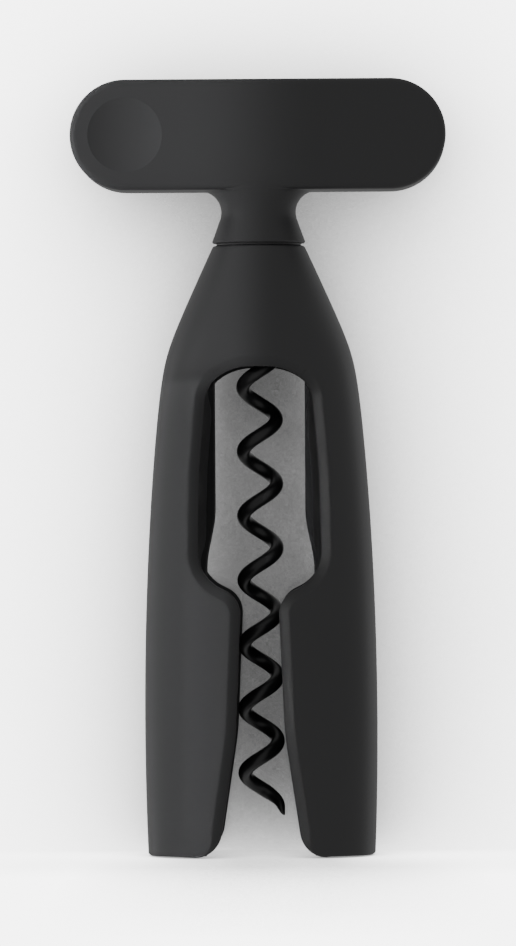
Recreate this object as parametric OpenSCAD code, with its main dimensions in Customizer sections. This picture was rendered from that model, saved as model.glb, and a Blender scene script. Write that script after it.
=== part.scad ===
// Self-pulling bell corkscrew: a T handle turns a worm inside a bell that seats on the bottle neck.
// It stands on its leg ends. The worm's axis is Z, the handle bar lies along X and the front faces -Y.

/* [Bell] */
// Height of the bell, from the leg ends to its round top lip
bell_h = 135.3; // [132:0.1:140]
// Width of the bell at its widest place
bell_w = 51.8; // [49:0.1:54]
// Depth of the bell, front to back
bell_d = 35.8; // [35:0.1:38]
// Height of the widest place above the leg ends
widest_z = 30.2; // [10:0.1:40]
// Radius of the long curve down each side
side_curve_r = 760; // [600:10:1500]
// Diameter of the round top lip
lip_d = 20.6; // [19:0.1:22]
// Angle of the crown's sides from the axis
crown_side_angle = 25; // [21:0.1:27]
// Angle of the crown's front and back from the axis
crown_front_angle = 19.8; // [18:0.1:22]
// How softly the crown runs into the sides
crown_blend = 2.2; // [0.8:0.1:4]
// Squareness of the lower section, where 2 is an ellipse
section_power = 2.8; // [2.4:0.1:3.2]
// Distance below the lip at which the squarer section starts to turn round
square_drop = 40; // [30:1:50]
// Thickness of the bell's wall
wall = 2.4; // [2:0.1:2.8]
// Edge break on the lip and on the leg ends
rim_break = 0.5; // [0.3:0.1:0.8]

/* [Window and slot] */
// Distance from the lip down to the top of the window's arch
window_drop = 27; // [26:0.1:32]
// Half width of the flat part at the top of the arch
arch_half_w = 6; // [4:0.1:8]
// Half width of the window at the arch's shoulders
shoulder_half_w = 11.6; // [11:0.1:12.5]
// Height of the arch above its shoulders
arch_rise = 4.3; // [3:0.1:6]
// Half width of the window halfway down
window_mid_half_w = 13.2; // [12.8:0.1:13.6]
// Half width of the window near its lower end
window_half_w = 13.7; // [13.4:0.1:14.5]
// Height of the window's lower corners
window_foot_z = 61.9; // [58:0.1:64]
// Height at which the slot leaves the window
slot_top_z = 57.2; // [54:0.1:58]
// Half width of the slot at its top
slot_half_w = 4.1; // [4.1:0.1:5]
// Height halfway down the slot
slot_mid_z = 27; // [20:0.5:35]
// Half width of the slot halfway down
slot_mid_half_w = 5.4; // [5:0.1:7]
// Half width of the slot between the leg ends
leg_half_gap = 9.4; // [9:0.1:11]
// Radius on the inner corner of each leg end
leg_corner_r = 6; // [3.5:0.1:7]
// Radius on each side of the arch's top
arch_r = 12; // [6:0.5:14]
// Radius on the arch's shoulders
shoulder_r = 7; // [4:0.5:8]
// Radius on the window's lower corners
foot_corner_r = 9; // [5:0.5:10]
// Radius where the slot leaves the window
slot_corner_r = 6; // [3:0.5:8]
// Radius of the gentle bends halfway down the window and slot
side_bend_r = 60; // [40:5:90]
// Width of the bevel round the window and slot
bevel_w = 2.3; // [1.8:0.1:2.6]
// How far the bevel drops below the surface
bevel_drop = 1.5; // [1.2:0.1:1.8]
// How far it still drops at the leg ends
bevel_end_drop = 0.2; // [0.1:0.05:0.5]

/* [Neck liner] */
// Inner diameter round the bottle neck
neck_d = 31; // [30.6:0.1:31.2]
// Inner diameter round the cork
cork_d = 26; // [25.6:0.1:26.4]
// Thickness of the liner
liner_t = 2; // [1.6:0.1:2.2]
// Half the angle that each liner arm covers
arm_half_angle = 39; // [36:1:41]
// Height at which the neck space starts to narrow
funnel_z = 63.5; // [58:0.5:66]
// Height of the narrowing
funnel_h = 13; // [10:1:15]
// Thickness of the plates that close the leg ends
foot_t = 2; // [1.6:0.1:3]
// Height of the ring that joins the arms inside the crown
ring_h = 3; // [2:0.1:3.2]
// Thickness of that ring
ring_t = 1.6; // [1.2:0.1:1.9]
// How far the ring sits above the window
ring_lift = 1.2; // [0.5:0.1:2]
// Gap between the foot plates and the bell's wall
liner_gap = 0.15; // [0.12:0.01:0.3]

/* [Worm] */
// Diameter of the worm's wire
wire_d = 3.1; // [2.8:0.1:3.3]
// Diameter of the straight shank above the spiral
shank_d = 3.3; // [3.2:0.1:3.6]
// Outer diameter of the spiral
worm_d = 10.4; // [9.6:0.1:10.6]
// Rise of one turn of the spiral
worm_pitch = 14.3; // [12:0.1:16]
// Height of the point above the leg ends
tip_z = 8.7; // [6:0.1:14]
// Height over which the wire tapers to its point
taper_h = 5; // [3:0.5:9]
// Height over which the point runs almost straight down
point_h = 2; // [0.5:0.1:4]
// How full the taper is, where 1 is a plain cone
taper_power = 0.6; // [0.4:0.1:1]
// Radius of the blunted point
point_r = 0.1; // [0.05:0.05:0.3]
// How far the spiral goes on above the window before it runs into the shank
spiral_lift = 0.5; // [0:0.1:2]
// Direction of the point, seen from above
worm_turn = -6; // [-180:1:180]

/* [Handle] */
// Length of the bar
bar_l = 83.4; // [76:0.1:90]
// Height of the bar, which has full round ends
bar_h = 24.6; // [22:0.1:26]
// Thickness of the bar, front to back
bar_t = 18; // [16.6:0.1:20]
// Rounding of the bar's long edges
bar_edge_r = 1.5; // [0.8:0.1:3]
// Height of the neck between the seam and the bar
neck_h = 11.7; // [10:0.1:13]
// Diameter of the skirt at the seam
skirt_d = 20.7; // [20:0.1:22]
// Angle of the skirt's side from the axis
skirt_angle = 19.9; // [16:0.1:24]
// Width of the flare where it meets the bar
flare_w = 28; // [24:0.5:30]
// How far the flare stands back from the bar's faces
flare_inset = 0.4; // [0.2:0.1:1]
// Radius of the sweep from the neck into the bar
neck_fillet_r = 4.8; // [3:0.1:5.4]
// Diameter of the thumb dimple
dimple_d = 16.6; // [12:0.1:18]
// Depth of the thumb dimple
dimple_depth = 1.1; // [0.6:0.1:1.6]
// Open seam between the bell's lip and the skirt
seam_gap = 0.5; // [0.4:0.05:0.7]

/* [Bearing and drive] */
// Outer diameter of the crown bush
bush_d = 8.4; // [7.6:0.1:9]
// Diameter of the bush's flange
flange_d = 12.4; // [11.4:0.1:13]
// Thickness of the bush's flange
flange_t = 1.2; // [1:0.1:1.6]
// Length of the bush below its flange
bush_l = 15.5; // [13:0.1:16]
// Wall of the boss round the bush
boss_wall = 2.4; // [2:0.1:3]
// Diameter of the thrust washer
thrust_d = 11.4; // [10.6:0.1:12]
// Thickness of the thrust washer
thrust_t = 0.8; // [0.7:0.1:1]
// Diameter of the retaining washer
keeper_d = 10; // [9.2:0.1:11]
// Thickness of the retaining washer
keeper_t = 0.6; // [0.5:0.1:0.8]
// Diameter of the push-on clip
clip_d = 8.6; // [7:0.1:9]
// Thickness of the push-on clip's metal
clip_t = 0.4; // [0.3:0.05:0.5]
// Width across the flats of the drive hub
hub_flats = 9; // [8:0.1:9.6]
// Length of the drive hub
hub_l = 16; // [12:0.5:18]
// Diameter of the cross pin
pin_d = 1.2; // [1:0.1:1.4]
// Length of the cross pin
pin_l = 8.6; // [7:0.1:8.8]
// Height of the cross pin above the hub's lower end
pin_up = 12; // [9:0.5:14]
// Half the diameter of the pilot hole above the bell's hollow
pilot_r = 2.1; // [2:0.1:3]
// Thickness of the crown's solid top, measured from the flange's seat
crown_solid = 7.2; // [6:0.1:9]
// Running clearance of the shank in the bush, on the radius
running_gap = 0.05; // [0.02:0.01:0.09]
// Fitting clearance between seated pieces
seat_gap = 0.05; // [0.02:0.01:0.1]
// Clearance round the shank in the washers, and round the thrust washer in its recess
washer_gap = 0.2; // [0.15:0.05:0.3]
// Clearance between the clip's teeth and the shank
grip_gap = 0.02; // [0.01:0.01:0.04]
// Play along the axis at each washer
axial_play = 0.08; // [0.05:0.01:0.12]

/* [Hidden] */
$fn = 64;

// Steps round a wing's wall, from its front edge to its back edge
AROUND = 14;
// Steps along each rounded corner of an outline
CORNER_STEPS = 4;
// Sides of the wire, and its rings for each turn
WIRE_SIDES = 12;
TURN_STEPS = 20;
// Longest stretch between two points of the window's outline
LONGEST = 9;
// Steps of the crown above the window, and of the liner's funnel
CROWN_STEPS = 5;
FUNNEL_STEPS = 8;
// How far cutting shapes reach past what they cut
PAST = 2;
// How far the shank starts inside the end of the spiral
INTO = 0.4;
// Height between the two places that give the wire its direction
NEAR = 0.02;

window_top = bell_h - window_drop;
square_to_z = bell_h - square_drop;
bar_z = bell_h + seam_gap + neck_h + bar_h / 2;
skirt_z = bell_h + seam_gap;
wire_r = wire_d / 2;
shank_r = shank_d / 2;
thrust_z = bell_h + axial_play;
recess_z = thrust_z + thrust_t + axial_play;
bush_z = bell_h - flange_t - bush_l;
keeper_z = bush_z - axial_play - keeper_t;
clip_z = keeper_z - axial_play - 1.5 * clip_t;
shank_z = clip_z - clip_t;
shank_top = recess_z + hub_l - seat_gap;
pin_z = recess_z + pin_up;
cavity_top = bell_h - flange_t - crown_solid;
ring_z = window_top + ring_lift;

// Smaller of two lengths, with a soft change from one to the other
function soft_min(p, q, blend) = (p + q - sqrt((p - q) * (p - q) + blend * blend)) / 2;

// Half width, half depth and squareness of the bell at a height
function half_w(z) = soft_min(bell_w / 2 - pow(z - widest_z, 2) / (2 * side_curve_r),
                              lip_d / 2 + (bell_h - z) * tan(crown_side_angle), crown_blend);
function half_d(z) = soft_min(bell_d / 2, lip_d / 2 + (bell_h - z) * tan(crown_front_angle), crown_blend);
function ease(t) = let (c = max(0, min(1, t))) c * c * (3 - 2 * c);
function power_at(z) = section_power - (section_power - 2) * ease((z - square_to_z) / (bell_h - square_to_z));

// How far the lip and the leg ends are broken in at a height
function edge_inset(z) = max(0, rim_break - z, z - bell_h + rim_break);

// Place on the right half of a level section, where -90 is the front and 90 the back
function at(z, angle, inset) =
    let (n = power_at(z), a = half_w(z) - inset, b = half_d(z) - inset)
    [a * pow(cos(angle), 2 / n), b * sign(angle) * pow(abs(sin(angle)), 2 / n), z];
function angle_of(x, z, inset) = acos(pow(min(1, x / (half_w(z) - inset)), power_at(z) / 2));

// Line round the right half from a place on the front to the same place on the back
function arc(x, z, side_z, inset, trim = 0) = [for (k = [0 : AROUND])
    let (t = k / AROUND, angle = angle_of(x, z, inset + trim * edge_inset(z)) * (2 * t - 1),
         level = z + (side_z - z) * ease(1 - abs(2 * t - 1)))
    at(level, angle, inset + trim * edge_inset(level))];

function unit(v) = v / norm(v);
function reversed(list) = [for (i = [len(list) - 1 : -1 : 0]) list[i]];

// Closed skin over a list of rings that have the same number of points
module skin(rings) {
    n = len(rings[0]);
    last = len(rings) - 1;
    sides = [for (i = [0 : last - 1], k = [0 : n - 1])
        let (a = i * n + k, b = i * n + (k + 1) % n)
        each [[a, a + n, b + n], [a, b + n, b]]];
    caps = [[for (k = [0 : n - 1]) k], [for (k = [n - 1 : -1 : 0]) last * n + k]];
    polyhedron([for (one = rings) each one], concat(sides, caps));
}

// A line of corner points with each corner rounded to its own radius
function rounded(corners, radii) = [for (i = [0 : len(corners) - 1])
    let (p = corners[i], r = radii[i])
    each (r == 0 ? [p] :
        let (u = unit(corners[i - 1] - p), v = unit(corners[i + 1] - p),
             half = acos(u * v) / 2, reach = r / tan(half),
             middle = p + unit(u + v) * r / sin(half),
             from = (p + u * reach - middle) / r, to = (p + v * reach - middle) / r, turn = 180 - 2 * half)
        [for (s = [0 : CORNER_STEPS])
            let (t = s / CORNER_STEPS)
            middle + r * (from * sin((1 - t) * turn) + to * sin(t * turn)) / sin(turn)])];

// The same line with long stretches split, so that it can follow a curved surface
function split(line, step) = [for (i = [0 : len(line) - 1])
    each (i == len(line) - 1 ? [line[i]] :
        let (n = ceil(norm(line[i + 1] - line[i]) / step))
        [for (k = [0 : n - 1]) line[i] + (line[i + 1] - line[i]) * k / n])];

// Length of a line up to each of its points
function lengths(line) = [for (i = 0, sum = 0; i < len(line);
    sum = sum + (i + 1 < len(line) ? norm(line[i + 1] - line[i]) : 0), i = i + 1) sum];

// Right half of the window and slot seen from the front, from the leg end up to the arch
half_outline = reversed(rounded(
    [[0, window_top], [arch_half_w, window_top], [shoulder_half_w, window_top - arch_rise],
     [window_mid_half_w, (window_top + window_foot_z) / 2], [window_half_w, window_foot_z],
     [slot_half_w, slot_top_z], [slot_mid_half_w, slot_mid_z],
     [leg_half_gap, 0], [leg_half_gap + leg_corner_r, 0]],
    [0, arch_r, shoulder_r, side_bend_r, foot_corner_r, slot_corner_r, side_bend_r, leg_corner_r, 0]));
outline = split([for (i = [1 : len(half_outline) - 1]) half_outline[i]], LONGEST);
crease_top = window_top + bevel_w;

// One loop round the wall of the right wing, for each point of the outline
wing_loops = let (run = lengths(outline), last = len(outline) - 1)
    [for (i = [0 : last])
        let (p = outline[i], along = unit(outline[min(i + 1, last)] - outline[max(i - 1, 0)]),
             fade = min(1, p.y / leg_corner_r), q = i == last ? [0, crease_top] :
             p + [along.y, -along.x] * bevel_w * fade, side_z = crease_top * run[i] / run[last],
             outer = arc(q.x, q.y, side_z, 0, 1), inner = arc(p.x, p.y, side_z, wall),
             edge_y = outer[0].y + max(bevel_end_drop, bevel_drop * fade))
        concat(outer, [[p.x, -edge_y, p.y]], reversed(inner), [[p.x, edge_y, p.y]])];

// Level half rings of the crown, hollow up to its ceiling and with a pilot hole above that
function crown_loop(z, hollow) =
    let (outer = arc(0, z, z, 0, 1),
         inner = hollow ? arc(0, z, z, wall) :
             [for (k = [0 : AROUND]) let (a = 180 * k / AROUND - 90) [pilot_r * cos(a), pilot_r * sin(a), z]])
    concat(outer, [(outer[AROUND] + inner[AROUND]) / 2], reversed(inner), [(outer[0] + inner[0]) / 2]);
crown_loops = concat(
    [for (s = [1 : CROWN_STEPS]) crown_loop(crease_top + (cavity_top - crease_top) * s / CROWN_STEPS, true)],
    [for (z = [cavity_top + rim_break, bell_h - rim_break, bell_h]) crown_loop(z, false)]);

// Both wings and the crown as one closed surface, open where the window parts the wings
module bell_surface() {
    loops = concat(wing_loops, crown_loops);
    n = len(loops[0]);
    last = len(loops) - 1;
    arch = len(wing_loops) - 1;
    count = n * len(loops);
    right = [for (one = loops) each one];
    left = [for (p = right) [-p.x, p.y, p.z]];
    on_middle = [AROUND, AROUND + 1, n - 2, n - 1];
    sides = [for (i = [0 : last - 1], k = [0 : n - 1]) if (i < arch || len(search(k, on_middle)) == 0)
        let (a = i * n + k, b = i * n + (k + 1) % n)
        each [[a, a + n, b + n], [a, b + n, b]]];
    foot = [for (k = [0 : AROUND - 1]) each [[k, k + 1, n - 3 - k], [k, n - 3 - k, n - 2 - k]]];
    corners = [[0, n - 2, n - 1], [AROUND, AROUND + 1, AROUND + 2]];
    lip = [for (k = [0 : AROUND - 1])
        let (m = last * n)
        each [[m + k, m + n - 2 - k, m + k + 1], [m + k + 1, m + n - 2 - k, m + n - 3 - k]]];
    half = concat(sides, foot, corners, lip);
    polyhedron(concat(right, left), concat(half, [for (f = half) [f[2] + count, f[1] + count, f[0] + count]]));
}

module body_shell() color("#2f3032") difference() {
    union() {
        bell_surface();
        translate([0, 0, bush_z]) cylinder(d = bush_d + 2 * boss_wall, h = cavity_top + wall - bush_z);
    }
    translate([0, 0, bush_z - PAST]) cylinder(d = bush_d + 2 * seat_gap, h = bell_h - bush_z + 2 * PAST);
    translate([0, 0, bell_h - flange_t]) cylinder(d = flange_d + 2 * seat_gap, h = flange_t + PAST);
}

// Inner radius of the liner at a height
function liner_r(z) = neck_d / 2 - (neck_d - cork_d) / 2 * ease((z - funnel_z) / funnel_h);

module liner_arm() {
    levels = concat([0], [for (s = [0 : FUNNEL_STEPS]) funnel_z + funnel_h * s / FUNNEL_STEPS], [ring_z + ring_h]);
    inner = [for (z = levels) [liner_r(z), z]];
    outer = [for (i = [len(levels) - 1 : -1 : 0]) [liner_r(levels[i]) + liner_t, levels[i]]];
    rotate([0, 0, -arm_half_angle]) rotate_extrude(angle = 2 * arm_half_angle) polygon(concat(inner, outer));
}

// Plate that closes a leg end between the bell's wall and the liner arm
module foot_plate() intersection() {
    difference() {
        skin([for (z = [0, foot_t])
            let (half = [for (k = [0 : AROUND]) at(z, 180 * k / AROUND - 90, wall + liner_gap)])
            concat(half, [for (p = reversed([for (i = [1 : len(half) - 2]) half[i]])) [-p.x, p.y, z]])]);
        translate([0, 0, -PAST]) cylinder(d = neck_d + liner_t, h = foot_t + 2 * PAST);
    }
    translate([0, 0, -PAST]) linear_extrude(foot_t + 2 * PAST)
        polygon([[0, 0], bell_w * [cos(arm_half_angle), -sin(arm_half_angle)],
                 bell_w * [cos(arm_half_angle), sin(arm_half_angle)]]);
}

module neck_liner() color("#17181a") {
    for (side = [0, 180]) rotate([0, 0, side]) {
        liner_arm();
        foot_plate();
    }
    translate([0, 0, ring_z]) difference() {
        cylinder(r = cork_d / 2 + ring_t, h = ring_h);
        translate([0, 0, -PAST]) cylinder(d = cork_d, h = ring_h + 2 * PAST);
    }
}

module crown_bush() color("#1d1e20") difference() {
    union() {
        translate([0, 0, bush_z]) cylinder(d = bush_d, h = bush_l + flange_t);
        translate([0, 0, bell_h - flange_t]) cylinder(d = flange_d, h = flange_t);
    }
    translate([0, 0, bush_z - PAST]) cylinder(r = shank_r + running_gap, h = bush_l + flange_t + 2 * PAST);
}

module washer(outer_d, thickness, z) translate([0, 0, z]) difference() {
    cylinder(d = outer_d, h = thickness);
    translate([0, 0, -PAST]) cylinder(r = shank_r + washer_gap, h = thickness + 2 * PAST);
}

module thrust_washer() color("#26272a") washer(thrust_d, thrust_t, thrust_z);

module retaining_washer() color("#b9bdc2") washer(keeper_d, keeper_t, keeper_z);

// Dished spring-steel disc whose inner edge grips the shank
module push_on_clip() color("#9ea3a8") translate([0, 0, clip_z])
    rotate_extrude() polygon([[shank_r + grip_gap, 0], [clip_d / 4, -clip_t / 2], [clip_d / 2, clip_t / 2],
                              [clip_d / 2, 1.5 * clip_t], [clip_d / 4, clip_t / 2], [shank_r + grip_gap, clip_t]]);

// Radius and centre of the wire at a height. The point is ground on the inner side of the spiral
spiral_end_z = window_top + spiral_lift;
function wire_size(z) = point_r + (wire_r - point_r) * pow(max(0, min(1, (z - tip_z) / taper_h)), taper_power);
function wire_angle(z) =
    worm_turn + 360 / worm_pitch * (z - tip_z - soft_min(z - tip_z, point_h, point_h / 2));
function wire_out(z) = (worm_d / 2 - wire_size(z)) * (1 - ease((z - spiral_end_z) / (shank_z - spiral_end_z)));
function wire_at(z) = [wire_out(z) * cos(wire_angle(z)), wire_out(z) * sin(wire_angle(z)), z];

module worm() color("#1b1c1e") difference() {
    union() {
        turns = (shank_z - tip_z) / worm_pitch;
        steps = ceil(turns * TURN_STEPS);
        dz = (shank_z - tip_z) / steps;
        skin([for (i = [0 : steps])
            let (z = tip_z + i * dz, along = unit(wire_at(z + NEAR) - wire_at(z)),
                 out = [cos(wire_angle(z)), sin(wire_angle(z)), 0],
                 side = unit(out - along * (out * along)), up = cross(along, side))
            [for (k = [0 : WIRE_SIDES - 1])
                let (a = 360 * k / WIRE_SIDES)
                wire_at(z) + wire_size(z) * (side * cos(a) + up * sin(a))]]);
        translate([0, 0, shank_z - INTO]) cylinder(r = shank_r, h = shank_top - shank_z + INTO);
    }
    pin_hole();
}

module pin_hole() translate([0, 0, pin_z]) rotate([90, 0, 0])
    cylinder(d = pin_d + 2 * running_gap, h = hub_flats + 2 * PAST, center = true);

module hub_solid(gap, h) rotate([0, 0, 30]) cylinder(r = (hub_flats / 2 + gap) / cos(30), h = h, $fn = 6);

module drive_hub() color("#8f949a") difference() {
    translate([0, 0, recess_z]) hub_solid(0, hub_l);
    translate([0, 0, recess_z - PAST]) cylinder(r = shank_r + seat_gap, h = hub_l + 2 * PAST);
    pin_hole();
}

module cross_pin() color("#c4c7ca") translate([0, 0, pin_z]) rotate([90, 0, 0])
    cylinder(d = pin_d, h = pin_l, center = true);

// Cross section of the bar, with its long edges rounded
module bar_section(w, h) {
    square([w - 2 * bar_edge_r, h], center = true);
    square([w, h - 2 * bar_edge_r], center = true);
    for (x = [-1, 1], y = [-1, 1])
        translate([x * (w / 2 - bar_edge_r), y * (h / 2 - bar_edge_r)]) circle(bar_edge_r);
}

module bar() translate([0, 0, bar_z]) {
    end_x = (bar_l - bar_h) / 2;
    rotate([90, 0, 90]) linear_extrude(2 * end_x, center = true) bar_section(bar_t, bar_h);
    for (side = [-1, 1]) translate([side * end_x, 0, 0]) rotate([90, 0, 0]) rotate_extrude()
        intersection() {
            bar_section(bar_h, bar_t);
            translate([0, -bar_t]) square([bar_h, 2 * bar_t]);
        }
}

// Turned form of the skirt and neck, which sweeps out under the bar
module neck() {
    flare_x = skirt_d / 2 - (neck_h - rim_break) * tan(skirt_angle);
    top_z = skirt_z + neck_h;
    profile = rounded(
        [[0, skirt_z], [skirt_d / 2 - rim_break, skirt_z], [skirt_d / 2, skirt_z + rim_break],
         [flare_x, top_z], [flare_w / 2, top_z], [flare_w / 2, top_z + bar_edge_r], [0, top_z + bar_edge_r]],
        [0, 0, 0, neck_fillet_r, 0, 0, 0]);
    intersection() {
        rotate_extrude() polygon(profile);
        translate([0, 0, skirt_z]) linear_extrude(neck_h + bar_edge_r) union() {
            square([bar_l, bar_t - 2 * flare_inset], center = true);
            circle(d = bar_t - 2 * flare_inset);
        }
    }
}

module handle() color("#2f3032") difference() {
    union() {
        bar();
        neck();
    }
    sphere_r = (dimple_d * dimple_d / 4 + dimple_depth * dimple_depth) / (2 * dimple_depth);
    translate([-(bar_l - bar_h) / 2, -bar_t / 2 + dimple_depth - sphere_r, bar_z]) sphere(sphere_r);
    translate([0, 0, skirt_z - PAST]) cylinder(d = thrust_d + 2 * washer_gap, h = recess_z - skirt_z + PAST);
    translate([0, 0, skirt_z]) hub_solid(seat_gap, recess_z - skirt_z + hub_l + seat_gap);
}

body_shell();
neck_liner();
crown_bush();
thrust_washer();
retaining_washer();
push_on_clip();
worm();
drive_hub();
cross_pin();
handle();
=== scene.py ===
"""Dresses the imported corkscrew: smooth bell and handle, wound worm, finishes, light and camera."""

import math

import bpy
from bpy.props import FloatProperty, FloatVectorProperty, PointerProperty
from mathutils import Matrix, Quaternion, Vector


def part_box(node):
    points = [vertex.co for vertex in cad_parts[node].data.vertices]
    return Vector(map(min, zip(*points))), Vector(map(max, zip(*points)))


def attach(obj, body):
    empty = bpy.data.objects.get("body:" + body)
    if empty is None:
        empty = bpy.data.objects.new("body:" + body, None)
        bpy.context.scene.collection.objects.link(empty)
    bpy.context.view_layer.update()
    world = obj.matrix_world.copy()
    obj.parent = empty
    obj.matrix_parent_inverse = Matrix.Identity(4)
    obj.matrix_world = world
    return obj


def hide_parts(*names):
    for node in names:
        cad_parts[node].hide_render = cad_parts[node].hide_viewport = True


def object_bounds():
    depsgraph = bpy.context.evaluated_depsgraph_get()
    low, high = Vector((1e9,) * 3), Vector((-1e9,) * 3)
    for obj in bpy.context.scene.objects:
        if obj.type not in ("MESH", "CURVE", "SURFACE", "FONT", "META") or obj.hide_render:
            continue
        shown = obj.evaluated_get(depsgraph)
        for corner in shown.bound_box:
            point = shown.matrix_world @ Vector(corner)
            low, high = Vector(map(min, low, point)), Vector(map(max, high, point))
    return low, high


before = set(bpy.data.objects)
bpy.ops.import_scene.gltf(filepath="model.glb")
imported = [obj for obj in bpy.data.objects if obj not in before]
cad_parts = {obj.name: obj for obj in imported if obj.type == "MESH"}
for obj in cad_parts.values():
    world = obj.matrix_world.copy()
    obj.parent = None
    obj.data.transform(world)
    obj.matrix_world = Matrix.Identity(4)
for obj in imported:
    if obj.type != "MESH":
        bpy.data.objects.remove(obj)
CAD_LOW, CAD_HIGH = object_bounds()

bl_info = {
    "name": "Bell corkscrew",
    "version": (1, 0, 0),
    "blender": (4, 5, 0),
    "location": "3D View > Sidebar > Corkscrew",
    "description": "Builds the smooth surfaces, finishes and studio of a bell corkscrew",
    "category": "Object",
}

BELL_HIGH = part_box("body_shell")[1]
HANDLE_LOW, HANDLE_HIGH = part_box("handle")
WORM_LOW, WORM_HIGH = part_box("worm")

# Counts, and small sizes in metres, that nobody would change
LEFT_OVER = 1e-6
BEVEL_POINTS = 7
RIM_STEPS = 5
LEAST_DROP = 0.0002
CROWN_START = 0.0004
FLANGE_END, FLANGE_FADE = 0.001, 0.008
FLANGE_LIP = Vector((0.0001, 0.0006, 0))
BOSS_ROOT, BOSS_EDGE, SEAT_EDGE = 0.001, 0.0003, 0.0002

# Finish and light, with the spread in degrees
WHITE = (1.0, 1.0, 1.0, 1.0)
PLASTIC_IOR = 1.46
SOFT_AIM = (0, 0, 0.09)
PARALLEL_SPREAD = 1.6


# Sizes and colours that a user would change

def length(name, description, default, low=0.0, high=1.0):
    return FloatProperty(
        name=name, description=description, default=default, min=low, max=high,
        precision=5, subtype="DISTANCE", unit="LENGTH",
    )


def angle(name, description, degrees):
    return FloatProperty(
        name=name, description=description, default=math.radians(degrees),
        min=-math.pi, max=math.pi, subtype="ANGLE", unit="ROTATION",
    )


def colour(name, description, default):
    return FloatVectorProperty(
        name=name, description=description, default=default, min=0.0, max=1.0,
        size=3, subtype="COLOR",
    )


def factor(name, description, default):
    return FloatProperty(
        name=name, description=description, default=default, min=0.0, max=1.0, subtype="FACTOR",
    )


def amount(name, description, default, high=1000.0):
    return FloatProperty(name=name, description=description, default=default, min=0.0, max=high)


class BellSizes(bpy.types.PropertyGroup):
    """Sizes of the bell"""

    height: length("Height", "From the leg ends to the round lip", BELL_HIGH.z)
    width: length("Width", "Widest place, side to side", 0.0518)
    depth: length("Depth", "Front to back", 0.0358)
    widest_z: length("Widest at", "Height of the widest place", 0.0302)
    side_curve_r: length("Side curve", "Radius of the long curve down each side", 0.76, 0.1, 5.0)
    lip_d: length("Lip diameter", "Diameter of the round top lip", 0.0206)
    crown_side: angle("Crown side angle", "Angle of the crown's sides from the axis", 25.0)
    crown_front: angle("Crown front angle", "Angle of the crown's front from the axis", 19.8)
    crown_blend: length("Crown blend", "How softly the crown runs into the sides", 0.0022)
    squareness: amount("Squareness", "Shape of the lower section, where 2 is an ellipse", 2.8, 6.0)
    square_drop: length("Square until", "Distance below the lip where it turns round", 0.040)
    wall: length("Wall", "Thickness of the wall", 0.0024)
    rim_r: length("Rim radius", "Rounding of the lip and of the leg ends", 0.0005)
    window_drop: length("Window drop", "From the lip down to the arch", 0.027)
    arch_half: length("Arch half width", "Half the flat part at the top of the arch", 0.006)
    shoulder_half: length("Shoulder half width", "Half the width at the arch's shoulders", 0.0116)
    arch_rise: length("Arch rise", "Height of the arch above its shoulders", 0.0043)
    middle_half: length("Middle half width", "Half the window's width halfway down", 0.0132)
    window_half: length("Window half width", "Half the window's width near its lower end", 0.0137)
    window_foot: length("Window foot", "Height of the window's lower corners", 0.0619)
    slot_top: length("Slot top", "Height at which the slot leaves the window", 0.0572)
    slot_half: length("Slot half width", "Half the slot's width at its top", 0.0041)
    slot_middle: length("Slot middle", "Height halfway down the slot", 0.027)
    slot_middle_half: length("Slot middle half width", "Half the slot's width halfway down", 0.0054)
    leg_half_gap: length("Leg half gap", "Half the slot's width between the leg ends", 0.0094)
    leg_corner_r: length("Leg corner radius", "Rounding of the inner corner of each leg end", 0.006)
    arch_r: length("Arch radius", "Rounding beside the top of the arch", 0.012)
    shoulder_r: length("Shoulder radius", "Rounding of the arch's shoulders", 0.007)
    foot_corner_r: length("Foot corner radius", "Rounding of the window's lower corners", 0.009)
    slot_corner_r: length("Slot corner radius", "Rounding where the slot leaves the window", 0.006)
    side_bend_r: length("Side bend radius", "Rounding of the bends halfway down", 0.060)
    bevel_w: length("Bevel width", "Width of the bevel round window and slot", 0.0023)
    bevel_drop: length("Bevel drop", "How far the bevel drops below the surface", 0.0015)
    crease_r: length("Crease radius", "Softness of the bevel's two creases", 0.00028)
    flange_w: length("Inner flange width", "How far the window's flange reaches inwards", 0.0017)
    flange_drop: length("Inner flange drop", "How far the window's flange reaches back", 0.0024)
    boss_r: length("Boss radius", "Radius of the boss inside the crown", 0.0066)
    bush_r: length("Bush bore radius", "Radius of the bore for the bush", 0.00425)
    seat_r: length("Flange seat radius", "Radius of the seat for the bush's flange", 0.00625)
    seat_t: length("Flange seat depth", "Depth of the seat for the bush's flange", 0.0012)
    bush_l: length("Bush bore length", "Length of the bore below the flange seat", 0.0155)
    crown_solid: length("Solid crown", "Thickness of the crown's top below the flange seat", 0.0072)


class HandleSizes(bpy.types.PropertyGroup):
    """Sizes of the T handle"""

    bar_l: length("Bar length", "Length of the bar", 0.0834)
    bar_h: length("Bar height", "Height of the bar, which has full round ends", 0.0246)
    bar_t: length("Bar thickness", "Thickness of the bar, front to back", 0.018)
    edge_r: length("Edge radius", "Rounding of the bar's long edges", 0.0015)
    skirt_r: length("Skirt radius", "Radius of the skirt at the seam", 0.01035)
    skirt_angle: angle("Skirt angle", "Angle of the skirt's side from the axis", 19.9)
    flare_r: length("Flare radius", "Radius of the sweep from the neck into the bar", 0.0048)
    flare_w: length("Flare width", "Width of the flare where it meets the bar", 0.028)
    rim_r: length("Rim radius", "Rounding of the skirt's edge", 0.0004)
    recess_r: length("Recess radius", "Radius of the washer's recess under the skirt", 0.0059)
    collar_r: length("Collar radius", "Radius of the collar that closes the seam", 0.0094)
    collar_w: length("Collar width", "Width of that collar", 0.0008)
    collar_gap: length("Collar gap", "Gap between the collar and the bell's lip", 0.0001)
    dimple_d: length("Dimple diameter", "Diameter of the thumb dimple", 0.0166)
    dimple_depth: length("Dimple depth", "Depth of the thumb dimple", 0.0011)


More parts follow.
